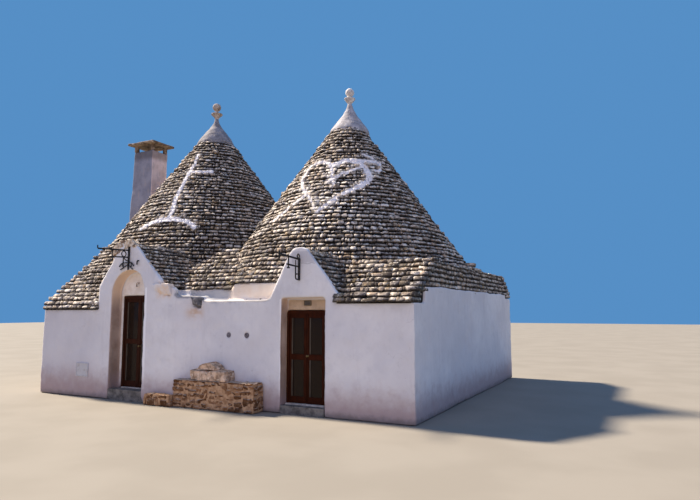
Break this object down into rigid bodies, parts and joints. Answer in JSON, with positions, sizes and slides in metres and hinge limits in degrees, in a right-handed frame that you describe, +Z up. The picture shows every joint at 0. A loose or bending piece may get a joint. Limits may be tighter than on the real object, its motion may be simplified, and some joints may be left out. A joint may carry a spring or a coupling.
{
  "type": "trullo house",
  "caption": "Whitewashed trullo house with two dry-stone cone roofs, an arched and a square-headed doorway in small gables, a chimney and a stone bench.",
  "frame": {"origin": "middle of the bounding box at ground level, on the underside of the floor", "axes": "+X along the street front to the right as seen from the street, +Y from the street into the house, +Z up"},
  "size_m": [12, 10.01, 9.06],
  "materials": {
    "limewash": "matte limewash on rubble, uneven by hand",
    "roof_stone": "weathered grey limestone slabs with lichen",
    "tufa": "rough pitted tufa blocks with mortar",
    "slab_stone": "worn limestone",
    "stained_wood": "dark red-brown stain, satin",
    "dark_glass": "clear glass over a dark room",
    "brass": "dull",
    "black_iron": "black wrought iron",
    "glazed_tile": "glossy",
    "painted_steel": "white paint over the frame"
  },
  "bodies": {
    "house": {"arch_pier": "limewash", "arched_gable": "limewash", "back_wall": "limewash", "bench": "tufa", "bench_block": "tufa", "bench_top_stone": "tufa", "bracket_left": "black_iron", "bracket_right": "black_iron", "chimney_cap": "slab_stone", "chimney_stack": "limewash", "cone_roof_left": "roof_stone", "cone_roof_right": "roof_stone", "corner_pier": "limewash", "door_frame_left": "stained_wood", "door_frame_right": "stained_wood", "eave_wall": "limewash", "floor": "slab_stone", "front_wall_left": "limewash", "front_wall_right": "limewash", "gable_roof_left": "roof_stone", "gable_roof_right": "roof_stone", "infill_left": "limewash", "infill_right": "limewash", "low_bed": "tufa", "middle_wall": "limewash", "number_plate": "glazed_tile", "party_wall_left_back": "limewash", "party_wall_left_front": "limewash", "party_wall_right": "limewash", "pinnacle_left": "slab_stone", "pinnacle_right": "slab_stone", "rain_spout": "slab_stone", "shoulder_slab": "slab_stone", "skirt_back_left": "roof_stone", "skirt_back_middle": "roof_stone", "skirt_back_right": "roof_stone", "skirt_front_left": "roof_stone", "skirt_front_middle": "roof_stone", "skirt_front_right": "roof_stone", "square_gable": "limewash", "step_left": "slab_stone", "step_right": "slab_stone", "wall_hatch": "painted_steel", "white_cap_left": "limewash", "white_cap_right": "limewash"},
    "leaf_left_a": {"door_leaf_left_a": "stained_wood", "door_glass_left_a": "dark_glass"},
    "leaf_left_b": {"door_leaf_left_b": "stained_wood", "door_glass_left_b": "dark_glass", "door_knob_left": "brass"},
    "leaf_right_a": {"door_leaf_right_a": "stained_wood", "door_glass_right_a": "dark_glass"},
    "leaf_right_b": {"door_leaf_right_b": "stained_wood", "door_glass_right_b": "dark_glass", "door_knob_right": "brass"}
  },
  "joints": [
    {"name": "door_left_a_hinge", "type": "hinge", "parent": "house", "child": "leaf_left_a", "pos_m": [-1.669, -3.675, 1.36], "axis": [0, 0, 1], "range_deg": [0, 90]},
    {"name": "door_left_b_hinge", "type": "hinge", "parent": "house", "child": "leaf_left_b", "pos_m": [-0.671, -3.675, 1.36], "axis": [0, 0, -1], "range_deg": [0, 90]},
    {"name": "door_right_a_hinge", "type": "hinge", "parent": "house", "child": "leaf_right_a", "pos_m": [3.041, -3.465, 1.14], "axis": [0, 0, 1], "range_deg": [0, 90]},
    {"name": "door_right_b_hinge", "type": "hinge", "parent": "house", "child": "leaf_right_b", "pos_m": [3.919, -3.465, 1.14], "axis": [0, 0, -1], "range_deg": [0, 90]}
  ]
}
